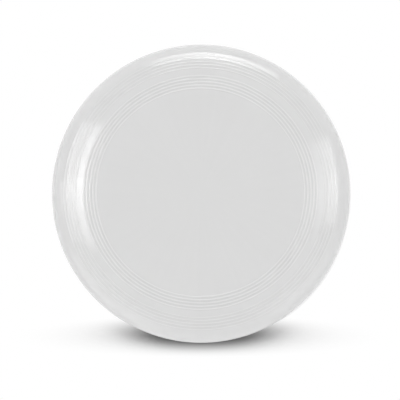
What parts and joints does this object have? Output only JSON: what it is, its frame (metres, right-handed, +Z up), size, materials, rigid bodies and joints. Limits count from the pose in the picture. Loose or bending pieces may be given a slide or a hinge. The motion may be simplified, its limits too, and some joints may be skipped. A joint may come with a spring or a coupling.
{
  "type": "flying disc",
  "caption": "Moulded flying disc with a flat plate, a domed border carrying bands of raised rings, and a deep rounded rim; it is thrown spinning and caught by its rim.",
  "frame": {"origin": "on the spin axis, level with the flat seat under the lip", "axes": "+Z up along the spin axis, out of the plate's top; X and Y in the plane of the plate"},
  "size_m": [0.273, 0.273, 0.0321],
  "materials": {
    "plastic": "off-white polyethylene, moulded gloss"
  },
  "bodies": {
    "root": {"disc": "plastic"}
  },
  "joints": []
}
